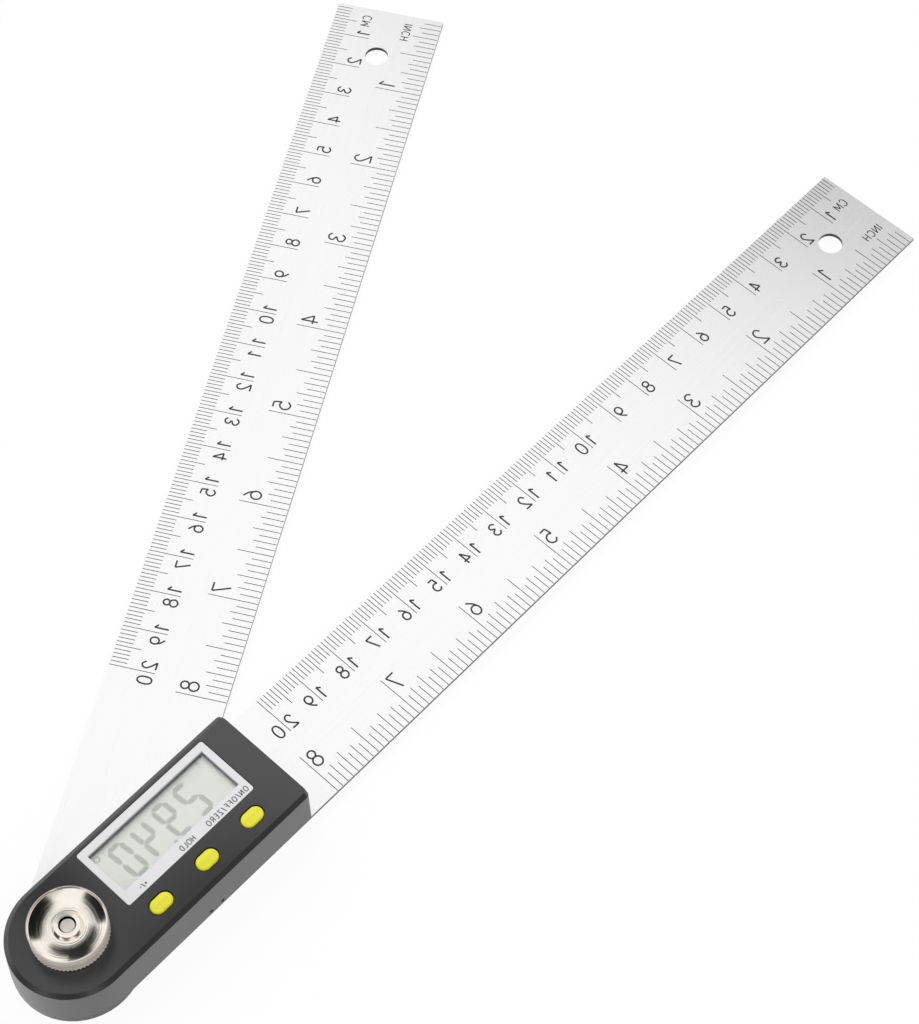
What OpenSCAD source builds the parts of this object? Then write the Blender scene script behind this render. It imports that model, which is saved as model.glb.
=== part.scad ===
// Digital angle finder: two rule blades on one pivot, with a display housing and a lock knob.
// Origin on the pivot axis at the underside of the swing blade, +X along the fixed blade, +Z up.
// All sizes are in millimetres.

/* [Blades] */
// Distance from the pivot to the tip of each blade
arm_reach = 266.5; // [150:0.5:420]
// Width of each blade, which is also the width of the housing at its foot
blade_w = 28; // [27.5:0.5:34]
// Thickness of each blade
blade_t = 1; // [0.9:0.1:1.6]
// Angle between the blades at rest
rest_angle = 29.4; // [0:0.1:180]
// Radius of the hang hole in each blade
hang_r = 3; // [2:0.25:4]
// Distance from the tip to the hang hole's centre
hang_inset = 15.3; // [8:0.1:30]

/* [Housing] */
// Height of the cover above the fixed blade
cover_h = 10.3; // [10.1:0.1:13]
// Distance from the pivot to the square end of the housing
cover_end = 55.7; // [54.6:0.1:64]
// Thickness of the cover's side wall at its foot
wall_t = 1.8; // [1.5:0.1:2]
// Thickness of the cover's top
roof_t = 1.5; // [1.4:0.05:1.8]
// How far each side leans in from the foot to the bevel
draft = 0.36; // [0:0.02:0.5]
// Width of the bevel round the top, seen from above
bevel_w = 1.05; // [0.4:0.05:1.2]
// Height of the bevel round the top
bevel_h = 0.7; // [0.3:0.05:1]
// Radius of the upright corners at the square end
corner_r = 1; // [0.5:0.1:2]
// Radius of the screw bosses inside the cover
boss_r = 1.9; // [1.6:0.1:2]
// Distance from the pivot to the pair of screws beside it
screw_near = 9.5; // [8.5:0.1:10.2]
// Distance from the square end to the far pair of screws
screw_inset = 4.2; // [4:0.1:5]
// Radius of the thread of the housing screws
screw_r = 0.85; // [0.7:0.05:1]
// Length of the housing screws, with their heads
screw_l = 7.5; // [5:0.5:8]
// Distance from the pivot to the prying notch in the foot of the cover
notch_x = 25.4; // [15:0.1:40]
// Spacing of the two prying notches
notch_pitch = 3.3; // [2:0.1:6]
// Width, height and depth of a prying notch
notch_size = 0.8; // [0.4:0.1:1.2]
// Length of the cross recess in a screw's head, from end to end
recess_l = 2; // [1.2:0.1:2.4]
// Width of each slot of the cross recess
recess_w = 0.45; // [0.3:0.05:0.6]
// Depth of the cross recess
recess_d = 0.6; // [0.3:0.05:0.8]

/* [Display] */
// Distance from the pivot to the middle of the display
display_x = 30.5; // [30.4:0.1:32]
// Distance from the bezel to the edge of the cover's top
display_margin = 0.69; // [0.4:0.01:1]
// Length of the white bezel
bezel_l = 36.2; // [30:0.1:36.4]
// Width of the white bezel
bezel_w = 16.1; // [15:0.1:16.3]
// Thickness of the white bezel
bezel_t = 0.9; // [0.7:0.05:1]
// Radius of the bezel's corners
bezel_corner = 0.6; // [0.2:0.1:1.2]
// Width of the bezel's border at each end
end_rim = 1.65; // [1.2:0.05:3]
// Width of the bezel's border on the side away from the buttons
far_rim = 1.85; // [1.2:0.05:2.5]
// Width of the bezel's border on the side of the buttons, which holds their signs
sign_rim = 3.05; // [1.5:0.05:4]
// Thickness of the display glass
glass_t = 1.8; // [1.4:0.1:2]
// How far the display glass stays inside the bezel's edge
glass_inset = 0.4; // [0.3:0.05:0.8]

/* [Buttons] */
// Length of each button
button_l = 5.4; // [4.5:0.1:7]
// Width of each button
button_w = 3.5; // [3:0.1:3.8]
// Spacing of the buttons
button_pitch = 13.1; // [10:0.1:14]
// How far the buttons lie outside the middle of the band between the bezel and the cover's edge
button_shift = 0.155; // [0:0.005:0.3]
// Height of the buttons above the cover
button_proud = 0.35; // [0.2:0.05:1]
// Travel of each button
button_travel = 0.6; // [0.3:0.05:0.7]
// Width of the gap round each button
button_gap = 0.3; // [0.15:0.05:0.4]

/* [Lock knob] */
// Radius of the knob
knob_r = 8.4; // [7:0.1:10]
// Height of the knob's knurled band
knob_h = 5; // [3.5:0.1:8]
// Number of grooves in the knurl
knurl_count = 60; // [24:1:72]
// Depth of the dish in the knob's top
dish_depth = 1.2; // [0.5:0.1:1.8]
// Width of the knob's lip round the dish
lip_w = 0.4; // [0.3:0.1:1.2]
// Depth of the step from the lip to the dish
lip_step = 0.35; // [0.2:0.05:0.5]
// Radius of the raised ring round the hole
eye_r = 2.8; // [2.4:0.1:4]
// Radius of the collar under the knob
collar_r = 5.4; // [4:0.1:6]
// Height of the knurled band above the cover
knob_lift_off = 0.7; // [0.65:0.05:1.5]
// Radius of the pivot bolt
bolt_r = 1.5; // [1.25:0.05:1.8]
// How far the bolt's end lies below the knob's top
bolt_recess = 0.8; // [0.5:0.1:2]
// Radius of the washer under the knob
washer_r = 5; // [4:0.1:6]
// Thickness of the washer under the knob
washer_t = 0.5; // [0.3:0.05:0.6]
// Radius of the steel ring let into the cover under the washer
ring_r = 5.2; // [4:0.1:6.5]
// Thickness of the steel ring let into the cover
ring_t = 0.6; // [0.4:0.05:1]

/* [Pivot and sensor] */
// Radius of the hub's journal in the fixed blade
hub_r = 8; // [7.5:0.1:8.5]
// How far the hub's flange overlaps the fixed blade
hub_flange = 1.6; // [0.8:0.1:2]
// Radius of the hub's spigot in the rotor
spigot_r = 4; // [3.5:0.1:5]
// Radius of the slip washer between the blades
shim_r = 13; // [9.5:0.1:13.5]
// Thickness of the slip washer between the blades
shim_t = 0.1; // [0.1:0.05:0.3]
// Gap between the sensor's rotor and the cover's wall
rotor_gap = 1.2; // [0.5:0.1:1.6]
// Thickness of the sensor's rotor
rotor_t = 0.8; // [0.6:0.1:1]
// Air gap between the rotor and the board
sensor_gap = 0.3; // [0.1:0.05:0.5]
// Thickness of the circuit board
board_t = 0.8; // [0.6:0.1:1]
// Height of the board above the fixed blade
board_rise = 4.4; // [4.3:0.05:4.6]
// Radius of the rivets that hold the hub
rivet_r = 1; // [0.6:0.1:1.2]
// Distance of the rivets from the pivot
rivet_ring = 5.6; // [5:0.1:6]

/* [Battery] */
// Radius of the coin cell
cell_r = 10; // [8:0.1:10]
// Thickness of the coin cell
cell_h = 3.2; // [2:0.1:3.3]
// Distance from the pivot to the cell's middle
cell_x = 33; // [28:0.1:34]
// Radius of the battery cap
cap_r = 10.9; // [10.6:0.1:11]
// Thickness of the battery cap
cap_t = 1.7; // [1.6:0.05:1.8]
// Angle that the cap turns to unlock
cap_turn = 60; // [40:5:80]
// Width of the coin slot in the cap
coin_slot_w = 1.8; // [1.4:0.1:2.4]
// Length of the coin slot in the cap
coin_slot_l = 14; // [8:0.5:16]

/* [Fits] */
// Radial clearance of a shaft that turns or slides in a hole
run_gap = 0.05; // [0.02:0.01:0.1]
// Gap between faces that move over each other
face_gap = 0.02; // [0.02:0.01:0.05]
// Gap round a piece that is set in a pocket
seat_gap = 0.05; // [0.02:0.01:0.1]

/* [Hidden] */

ROUND = 96;
SMALL = 32;
CUT = 1;                        // how far a cutting shape runs past the surface it opens
SKIN = 0.01;                    // thickness of the plates that the cover's hull is drawn over

// Heights, from the table up
fixed_z = blade_t + face_gap + shim_t;
deck_z = fixed_z + blade_t;
top_z = deck_z + cover_h;
ceiling_z = top_z - roof_t;
board_z = deck_z + board_rise;
board_top = board_z + board_t;
rotor_z = board_z - sensor_gap - rotor_t;
glass_z = ceiling_z - seat_gap - glass_t;
washer_z = top_z + face_gap;
collar_z = washer_z + washer_t + face_gap;
knob_z = top_z + knob_lift_off;
knob_top = knob_z + knob_h;
cap_z = fixed_z + seat_gap;
cap_top = cap_z + cap_t;

// Widths and places inside the housing
half_w = blade_w / 2;
inner_w = half_w - wall_t;
inner_end = cover_end - wall_t;
top_w = half_w - draft - bevel_w;
display_y = top_w - display_margin - bezel_w / 2;
button_y = (top_w + bezel_w / 2 - display_y) / 2 + button_shift;
rotor_r = inner_w - rotor_gap;
boss_y = inner_w - boss_r + 0.7;
screw_far = cover_end - screw_inset;
screw_spots = [for (x = [screw_near, screw_far], s = [-1, 1]) [x, s * boss_y]];
screw_head_r = 1.9 * screw_r;
screw_head_h = screw_head_r - screw_r;
boss_gap = 0.15;
window_l = bezel_l - 2 * end_rim;
window_w = bezel_w - far_rim - sign_rim;
window_y = display_y + bezel_w / 2 - far_rim - window_w / 2;
glass_l = bezel_l - 2 * glass_inset;
glass_w = bezel_w - 2 * glass_inset;
lens_ledge = 0.4;
lens_t = roof_t - bezel_t;

// Buttons
button_places = [display_x + button_pitch, display_x, display_x - button_pitch];
flange_edge = 0.6;
flange_t = 0.6;
flange_top = ceiling_z - seat_gap;
plunger_r = 1.1;
button_round = 0.3;
switch_size = [4.6, 3.4, 0.55];
switch_stem_r = 0.9;
switch_stem_h = 0.35;
switch_top = board_top + switch_size[2] + switch_stem_h;

// Pivot bolt, rivets and the knob's thread
bolt_head_r = bolt_r + 0.8 * blade_t;
bolt_head_h = 0.8 * blade_t;
rivet_head = 0.45;
rivet_bite = 1.5;
bolt_end = knob_top - bolt_recess;
bolt_pass = 0.7;

// Edges of the knob
knurl_edge = 0.5;
knurl_r = 0.3;
lip_edge = 0.15;
eye_drop = 0.1;
eye_slope = 0.4;
mouth_w = 0.35;

// Battery cap, its collar in the chassis and its bayonet
collar_wall = 1.05;
window_r = cap_r + run_gap + collar_wall + seat_gap;
lug_reach = 0.45;
lug_t = 0.5;
lug_angle = 24;
lug_z = cap_top - lug_t;
seal_r = 0.4;
seal_z = cap_z + 0.75;
seal_groove = 0.1;
cell_gap = 0.25;
cell_z = cap_top + seat_gap;
button_cap_r = cell_r - 1.4;
cell_step = 0.3;
entry_slack = 6;                // how many degrees wider a lug's way in is than the lug

// Contacts of the cell
contact_t = 0.2;
contact_w = 5;
contact_gap = 0.6;
contact_foot = 1.2;
contact_rise = 0.7;
leaf_w = 4;
leaf_run = [-8, -5.5, -2.5, 2.5, 4.5];
leaf_tail = 0.12;

// Inner moulding
chassis_start = rotor_r + 1.8;
chassis_web = 1.2;
chassis_rail = 3;
pocket_l = cell_x - window_r - chassis_start - 2 * chassis_web;

// What stands on the board
board_edge = 0.3;
chip_size = [7, 7, 0.9];
capacitor_size = [2, 1.2, 0.8];
capacitor_x = 5;
capacitor_y = 7;
crystal_r = 0.9;
crystal_l = 6;
crystal_inset = 2.4;
strip_w = 1.5;
strip_inset = 1.5;
tube_wall = 1;

module stadium(l, w, h) {
    translate([-(l - w) / 2, -w / 2, 0]) cube([l - w, w, h]);
    for (s = [-1, 1]) translate([s * (l - w) / 2, 0, 0]) cylinder(r = w / 2, h = h, $fn = SMALL);
}

module rounded_plate(l, w, r, h) {
    translate([-l / 2 + r, -w / 2, 0]) cube([l - 2 * r, w, h]);
    translate([-l / 2, -w / 2 + r, 0]) cube([l, w - 2 * r, h]);
    for (i = [-1, 1], j = [-1, 1]) translate([i * (l / 2 - r), j * (w / 2 - r), 0])
        cylinder(r = r, h = h, $fn = SMALL);
}

module ring(outer, inner, h) {
    difference() {
        cylinder(r = outer, h = h, $fn = ROUND);
        translate([0, 0, -CUT]) cylinder(r = inner, h = h + 2 * CUT, $fn = ROUND);
    }
}

module pie(r, angle, h) {
    reach = 2 * r;
    linear_extrude(h) polygon([[0, 0],
        [reach * cos(-angle / 2), reach * sin(-angle / 2)],
        [reach * cos(angle / 2), reach * sin(angle / 2)]]);
}

// One blade lying along +X, with its foot at z = 0
module blade() {
    difference() {
        union() {
            cylinder(r = half_w, h = blade_t, $fn = ROUND);
            translate([0, -half_w, 0]) cube([arm_reach, blade_w, blade_t]);
        }
        translate([arm_reach - hang_inset, 0, -CUT])
            cylinder(r = hang_r, h = blade_t + 2 * CUT, $fn = ROUND);
    }
}

// Countersunk screw, bolt or rivet: its head is flush with z = 0 and its shank points up
module flush_pin(r, head_r, head_h, l) {
    cylinder(r1 = head_r, r2 = r, h = head_h, $fn = ROUND);
    cylinder(r = r, h = l, $fn = ROUND);
}

module housing_screw_set(length) {
    for (p = screw_spots) translate([p[0], p[1], fixed_z])
        flush_pin(screw_r, screw_head_r, screw_head_h, length);
}

module rivet_set(length) {
    for (a = [0, 120, 240]) rotate([0, 0, a]) translate([rivet_ring, 0, 0])
        flush_pin(rivet_r, rivet_r + rivet_head, rivet_head, length);
}

// Cross recesses in the heads of the housing screws
module screw_recesses() {
    for (p = screw_spots, a = [0, 90]) translate([p[0], p[1], fixed_z]) rotate([0, 0, a])
        translate([-recess_l / 2, -recess_w / 2, -CUT]) cube([recess_l, recess_w, recess_d + CUT]);
}

module bolt_shape() {
    flush_pin(bolt_r, bolt_head_r, bolt_head_h, bolt_end);
}

module fixed_blade() {
    color("gainsboro") difference() {
        translate([0, 0, fixed_z]) blade();
        translate([0, 0, fixed_z - CUT])
            cylinder(r = hub_r + run_gap, h = blade_t + 2 * CUT, $fn = ROUND);
        translate([cell_x, 0, fixed_z - CUT])
            cylinder(r = window_r, h = blade_t + 2 * CUT, $fn = ROUND);
        housing_screw_set(screw_l);
    }
}

module swing_blade() {
    color("gainsboro") rotate([0, 0, rest_angle]) difference() {
        blade();
        bolt_shape();
        rivet_set(blade_t + rivet_bite);
    }
}

// The cover's outline at one height: round at the pivot end, square at the other
module cover_plate(z, w) {
    translate([0, 0, z]) {
        cylinder(r = w, h = SKIN, $fn = ROUND);
        for (s = [-1, 1]) translate([cover_end - corner_r, s * (w - corner_r), 0])
            cylinder(r = corner_r, h = SKIN, $fn = SMALL);
    }
}

module cover_block() {
    hull() {
        cover_plate(deck_z, half_w);
        cover_plate(top_z - bevel_h, half_w - draft);
        cover_plate(top_z - SKIN, top_w);
    }
}

module cover_cavity() {
    translate([0, 0, deck_z - CUT]) {
        cylinder(r = inner_w, h = ceiling_z - deck_z + CUT, $fn = ROUND);
        translate([0, -inner_w, 0]) cube([inner_end, 2 * inner_w, ceiling_z - deck_z + CUT]);
    }
}

module button_holes() {
    for (x = button_places) translate([x, -button_y, ceiling_z - CUT])
        stadium(button_l + 2 * button_gap, button_w + 2 * button_gap, roof_t + 2 * CUT);
}

module cover() {
    tube_r = bolt_r + bolt_pass;
    color("#39383a") difference() {
        union() {
            difference() {
                cover_block();
                cover_cavity();
            }
            for (p = screw_spots) translate([p[0], p[1], deck_z])
                cylinder(r = boss_r, h = ceiling_z - deck_z + SKIN, $fn = ROUND);
            translate([0, 0, board_top + seat_gap])
                cylinder(r = tube_r + tube_wall, h = ceiling_z - board_top, $fn = ROUND);
        }
        housing_screw_set(screw_l);
        translate([0, 0, board_top]) cylinder(r = tube_r, h = cover_h, $fn = ROUND);
        translate([0, 0, top_z - ring_t]) cylinder(r = ring_r, h = ring_t + CUT, $fn = ROUND);
        translate([display_x, display_y, top_z - bezel_t]) rounded_plate(
            bezel_l + 2 * seat_gap, bezel_w + 2 * seat_gap, bezel_corner + seat_gap, bezel_t + CUT);
        translate([display_x, window_y, ceiling_z - CUT])
            lens_block(roof_t + CUT, seat_gap);
        button_holes();
        for (x = [notch_x, notch_x + notch_pitch])
            translate([x - notch_size / 2, -half_w - CUT, deck_z - CUT])
                cube([notch_size, notch_size + CUT, notch_size + CUT]);
    }
}

module lens_block(h, gap) {
    l = window_l + 2 * (lens_ledge + gap);
    w = window_w + 2 * (lens_ledge + gap);
    translate([-l / 2, -w / 2, 0]) cube([l, w, h]);
}

module chassis() {
    side = inner_w - seat_gap;
    rise = board_z - deck_z;
    groove_r = cap_r + lug_reach + run_gap;
    color("#26272a") difference() {
        union() {
            translate([chassis_start, -side, deck_z])
                cube([inner_end - seat_gap - chassis_start, 2 * side, rise]);
            translate([cell_x, 0, cap_z])
                cylinder(r = window_r - seat_gap, h = deck_z - cap_z, $fn = ROUND);
        }
        // the cap's bore, its bayonet groove and the two ways into the groove
        translate([cell_x, 0, cap_z - CUT])
            cylinder(r = cap_r + run_gap, h = cap_t + CUT + seat_gap, $fn = ROUND);
        translate([cell_x, 0, lug_z - seat_gap])
            cylinder(r = groove_r, h = lug_t + 2 * seat_gap, $fn = ROUND);
        translate([cell_x, 0, cap_z - CUT]) intersection() {
            cylinder(r = groove_r, h = cap_t + CUT, $fn = ROUND);
            for (a = [0, 180]) rotate([0, 0, a - cap_turn])
                pie(cap_r, lug_angle + entry_slack, cap_t + CUT);
        }
        // the cell's well, open to the board
        translate([cell_x, 0, cap_z]) cylinder(r = cell_r + cell_gap, h = cover_h, $fn = ROUND);
        // the slot of the sprung side contact
        translate([cell_x + cell_r, -contact_w / 2 - contact_gap, cell_z + contact_rise / 2])
            cube([contact_foot + seat_gap, contact_w + 2 * contact_gap, cover_h]);
        for (p = screw_spots) translate([p[0], p[1], deck_z - CUT])
            cylinder(r = boss_r + boss_gap, h = cover_h, $fn = ROUND);
        if (pocket_l > chassis_web)
            translate([chassis_start + chassis_web, -inner_w + chassis_rail, deck_z + chassis_web])
                cube([pocket_l, 2 * (inner_w - chassis_rail), cover_h]);
    }
}

module housing_screws() {
    color("silver") difference() {
        housing_screw_set(screw_l);
        screw_recesses();
    }
}

module display_bezel() {
    color("#eeeaf2") difference() {
        translate([display_x, display_y, top_z - bezel_t])
            rounded_plate(bezel_l, bezel_w, bezel_corner, bezel_t);
        translate([display_x - window_l / 2, window_y - window_w / 2, top_z - bezel_t - CUT])
            cube([window_l, window_w, bezel_t + 2 * CUT]);
    }
}

module display_lens() {
    color("#dfe8e6", 0.5) translate([display_x, window_y, ceiling_z]) lens_block(lens_t, 0);
}

module display_glass() {
    color("#cdd3c6") translate([display_x - glass_l / 2, display_y - glass_w / 2, glass_z])
        cube([glass_l, glass_w, glass_t]);
}

module zebra_strips() {
    strip_l = glass_l - 2 * strip_inset;
    for (s = [-1, 1]) color("#d9a6a0")
        translate([display_x, display_y + s * (glass_w / 2 - strip_w), board_top])
            translate([-strip_l / 2, -strip_w / 2, 0]) cube([strip_l, strip_w, glass_z - board_top]);
}

module main_board() {
    side = inner_w - board_edge;
    color("#1f6b45") difference() {
        translate([0, 0, board_z]) union() {
            cylinder(r = side, h = board_t, $fn = ROUND);
            translate([0, -side, 0]) cube([inner_end - board_edge, 2 * side, board_t]);
        }
        translate([0, 0, board_z - CUT])
            cylinder(r = bolt_r + bolt_pass, h = board_t + 2 * CUT, $fn = ROUND);
        for (p = screw_spots) translate([p[0], p[1], board_z - CUT])
            cylinder(r = boss_r + boss_gap, h = board_t + 2 * CUT, $fn = ROUND);
    }
}

module processor_chip() {
    color("#17181a") translate([display_x - chip_size[0] / 2, display_y - chip_size[1] / 2, board_top])
        cube(chip_size);
}

module clock_crystal() {
    color("silver") translate([inner_end - crystal_inset, -crystal_l / 2, board_top + crystal_r])
        rotate([-90, 0, 0]) cylinder(r = crystal_r, h = crystal_l, $fn = SMALL);
}

module chip_capacitors() {
    color("#b08a5a") for (i = [-1, 1], j = [-1, 1])
        translate([i * capacitor_x, j * capacitor_y, board_top])
            translate([-capacitor_size[0] / 2, -capacitor_size[1] / 2, 0]) cube(capacitor_size);
}

module button_switches() {
    for (x = button_places) color("silver") translate([x, -button_y, board_top]) {
        translate([-switch_size[0] / 2, -switch_size[1] / 2, 0]) cube(switch_size);
        cylinder(r = switch_stem_r, h = switch_size[2] + switch_stem_h, $fn = SMALL);
    }
}

// A button: rounded cap, retaining flange under the roof and a plunger over its switch
module button(x) {
    plunger_z = switch_top + button_travel + seat_gap;
    crown_z = top_z + button_proud;
    color("#e8e33c") translate([x, -button_y, 0]) {
        // the flange is cut off where it would reach the cover's wall
        translate([0, 0, flange_top - flange_t]) intersection() {
            stadium(button_l + 2 * flange_edge, button_w + 2 * flange_edge, flange_t);
            translate([-button_l, button_y - inner_w + seat_gap, -CUT])
                cube([2 * button_l, 2 * (inner_w - button_y), flange_t + 2 * CUT]);
        }
        translate([0, 0, flange_top - flange_t])
            stadium(button_l, button_w, crown_z - button_round - flange_top + flange_t);
        hull() {
            translate([0, 0, crown_z - button_round - SKIN]) stadium(button_l, button_w, SKIN);
            translate([0, 0, crown_z - SKIN])
                stadium(button_l - 2 * button_round, button_w - 2 * button_round, SKIN);
        }
        translate([0, 0, plunger_z]) cylinder(r = plunger_r, h = flange_top - plunger_z, $fn = SMALL);
    }
}

module power_button() { button(button_places[0]); }

module hold_button() { button(button_places[1]); }

module reverse_button() { button(button_places[2]); }

module battery_cell() {
    color("#c9cacc") translate([cell_x, 0, cell_z]) {
        cylinder(r = cell_r, h = cell_h - cell_step, $fn = ROUND);
        cylinder(r = button_cap_r, h = cell_h, $fn = ROUND);
    }
}

module contact_plus() {
    foot_z = board_z - contact_t;
    low = cell_z + contact_rise;
    color("#c8a24a") translate([cell_x + cell_r + SKIN, -contact_w / 2, 0]) {
        translate([0, 0, low]) cube([contact_t, contact_w, board_z - low]);
        translate([0, 0, foot_z]) cube([contact_foot, contact_w, contact_t]);
    }
}

module contact_minus() {
    low = cell_z + cell_h;
    high = board_z - contact_t;
    heights = [high, high, low, low, low + leaf_tail];
    run = [for (i = [0:len(leaf_run) - 1]) [leaf_run[i], heights[i]]];
    back = [for (i = [len(run) - 1:-1:0]) run[i] + [0, contact_t]];
    color("#c8a24a") translate([cell_x, leaf_w / 2, 0]) rotate([90, 0, 0])
        linear_extrude(leaf_w) polygon(concat(run, back));
}

module battery_cap() {
    color("#2b2b2d") translate([cell_x, 0, 0]) difference() {
        union() {
            translate([0, 0, cap_z]) cylinder(r = cap_r, h = cap_t, $fn = ROUND);
            translate([0, 0, lug_z]) intersection() {
                cylinder(r = cap_r + lug_reach, h = lug_t, $fn = ROUND);
                for (a = [0, 180]) rotate([0, 0, a]) pie(cap_r, lug_angle, lug_t);
            }
        }
        translate([0, 0, seal_z - seal_r]) ring(cap_r + CUT, cap_r - 2 * seal_r, 2 * seal_r);
        translate([-coin_slot_l / 2, -coin_slot_w / 2, cap_z - CUT])
            cube([coin_slot_l, coin_slot_w, cap_t / 2 + CUT]);
    }
}

module cap_seal() {
    color("#101010") translate([cell_x, 0, seal_z]) rotate_extrude($fn = ROUND)
        translate([cap_r - seal_r, 0]) circle(r = seal_r, $fn = SMALL);
}

module blade_shim() {
    color("#f2f0e6") translate([0, 0, fixed_z - shim_t]) ring(shim_r, hub_r + run_gap, shim_t);
}

module pivot_hub() {
    flange_z = deck_z + face_gap;
    color("#b9bcc0") difference() {
        union() {
            translate([0, 0, blade_t]) cylinder(r = hub_r, h = flange_z - blade_t, $fn = ROUND);
            translate([0, 0, flange_z])
                cylinder(r = hub_r + hub_flange, h = rotor_z - flange_z, $fn = ROUND);
            translate([0, 0, rotor_z]) cylinder(r = spigot_r, h = rotor_t, $fn = ROUND);
        }
        bolt_shape();
        rotate([0, 0, rest_angle]) rivet_set(blade_t + rivet_bite);
    }
}

module hub_rivets() {
    color("#a9acb0") rotate([0, 0, rest_angle]) rivet_set(blade_t + rivet_bite);
}

module pivot_bolt() {
    color("#a9acb0") bolt_shape();
}

module rotor_disc() {
    color("#2d7a52") translate([0, 0, rotor_z]) ring(rotor_r, spigot_r, rotor_t);
}

module clamp_ring() {
    color("silver") translate([0, 0, top_z - ring_t]) ring(ring_r, bolt_r + run_gap, ring_t);
}

module knob_washer() {
    color("silver") translate([0, 0, washer_z]) ring(washer_r, bolt_r + run_gap, washer_t);
}

// Turned knob: knurled band, thin lip, dished top and a raised ring round the hole
module lock_knob() {
    lip = knob_r - lip_w;
    ring_z = knob_top - eye_drop;
    color("#d8d2c8") difference() {
        rotate_extrude($fn = ROUND) polygon([
            [bolt_r + run_gap, collar_z],
            [collar_r, collar_z],
            [collar_r, knob_z],
            [knob_r - knurl_edge, knob_z],
            [knob_r, knob_z + knurl_edge],
            [knob_r, knob_top - lip_edge],
            [knob_r - lip_edge, knob_top],
            [lip, knob_top],
            [lip - lip_edge, knob_top - lip_step],
            [eye_r + eye_slope, knob_top - dish_depth],
            [eye_r, ring_z],
            [bolt_r + mouth_w, ring_z],
            [bolt_r + run_gap, ring_z - mouth_w]]);
        for (i = [0:knurl_count - 1]) rotate([0, 0, i * 360 / knurl_count])
            translate([knob_r + knurl_r / 2, 0, knob_z - CUT])
                cylinder(r = knurl_r, h = knob_h + 2 * CUT, $fn = 16);
    }
}

fixed_blade();
swing_blade();
cover();
chassis();
housing_screws();
display_bezel();
display_lens();
display_glass();
zebra_strips();
main_board();
processor_chip();
clock_crystal();
chip_capacitors();
button_switches();
power_button();
hold_button();
reverse_button();
battery_cell();
contact_plus();
contact_minus();
battery_cap();
cap_seal();
blade_shim();
pivot_hub();
hub_rivets();
pivot_bolt();
rotor_disc();
clamp_ring();
knob_washer();
lock_knob();
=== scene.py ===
import math

import bmesh
import bpy
from mathutils import Matrix, Vector


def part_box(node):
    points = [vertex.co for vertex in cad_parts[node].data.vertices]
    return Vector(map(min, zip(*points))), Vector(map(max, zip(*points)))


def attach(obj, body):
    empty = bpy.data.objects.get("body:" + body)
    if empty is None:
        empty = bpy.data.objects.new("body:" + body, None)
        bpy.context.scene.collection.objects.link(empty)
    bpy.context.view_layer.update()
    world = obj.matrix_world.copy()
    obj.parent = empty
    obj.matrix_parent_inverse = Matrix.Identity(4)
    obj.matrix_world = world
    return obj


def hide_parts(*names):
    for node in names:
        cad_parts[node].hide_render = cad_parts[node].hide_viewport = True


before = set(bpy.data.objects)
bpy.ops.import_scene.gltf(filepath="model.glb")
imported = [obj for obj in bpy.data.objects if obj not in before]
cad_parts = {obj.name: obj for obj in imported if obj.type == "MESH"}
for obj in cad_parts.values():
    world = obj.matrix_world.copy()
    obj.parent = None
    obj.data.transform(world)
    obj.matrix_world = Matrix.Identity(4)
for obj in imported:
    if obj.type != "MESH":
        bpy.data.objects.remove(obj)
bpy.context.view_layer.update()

MM = 0.001

# ---------------------------------------------------------------------------------------------
# Swing blade. A stainless steel rule blade, blanked from 1 mm strip and brushed along its
# length. The pivot hub is riveted into its round end, and it turns below the housing.

# The last colour is for the upright edges of the blades: partly their sheared finish, partly painted
# shade.
STEEL, STEEL_WORN, SHEARED_AND_SHADED = "#fdfdfd", "#f6f6f6", "#484848"
BRUSH_PITCH = 0.45  # mm across the brush lines; real ones are 0.05 mm, too fine to show
BRUSH_LENGTH = 30.0  # mm along them
HANDLING = 60.0  # mm, the size of the patches that handling has dulled
FACE_LEVEL = 0.7  # a face that is less level than this was sheared, not rolled, and takes the dark edge colour, which is partly painted shade
REST_ANGLE = math.radians(29.4)


def colour(code):
    """The linear colour that an sRGB hex code stands for."""
    parts = [int(code[i:i + 2], 16) / 255 for i in (1, 3, 5)]
    return [p / 12.92 if p <= 0.04045 else ((p + 0.055) / 1.055) ** 2.4 for p in parts] + [1.0]


def add(tree, kind, sockets={}, **settings):
    """Adds a shader node with its settings. A socket is given a value, or another socket to read."""
    made = tree.nodes.new("ShaderNode" + kind)
    for name, value in settings.items():
        setattr(made, name, value)
    for name, value in sockets.items():
        if isinstance(value, bpy.types.NodeSocket):
            tree.links.new(value, made.inputs[name])
        else:
            made.inputs[name].default_value = value
    return made


def start(name, **shine):
    """A new material: itself, its node tree, its shader and a socket of Object coordinates."""
    made = bpy.data.materials.new(name)
    made.use_nodes = True
    tree = made.node_tree
    shader = tree.nodes["Principled BSDF"]
    for socket, value in shine.items():
        shader.inputs[socket.replace("_", " ")].default_value = value
    return made, tree, shader, add(tree, "TexCoord").outputs["Object"]


def vary(tree, factor, low, high, socket):
    """Lets a socket run between two colours or two numbers as factor goes from 0 to 1."""
    if isinstance(low, str):
        mix = add(tree, "Mix", {0: factor, 6: colour(low), 7: colour(high)}, data_type="RGBA")
        tree.links.new(mix.outputs[2], socket)
    else:
        span = add(tree, "MapRange", {"Value": factor, "To Min": low, "To Max": high})
        tree.links.new(span.outputs[0], socket)


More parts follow.
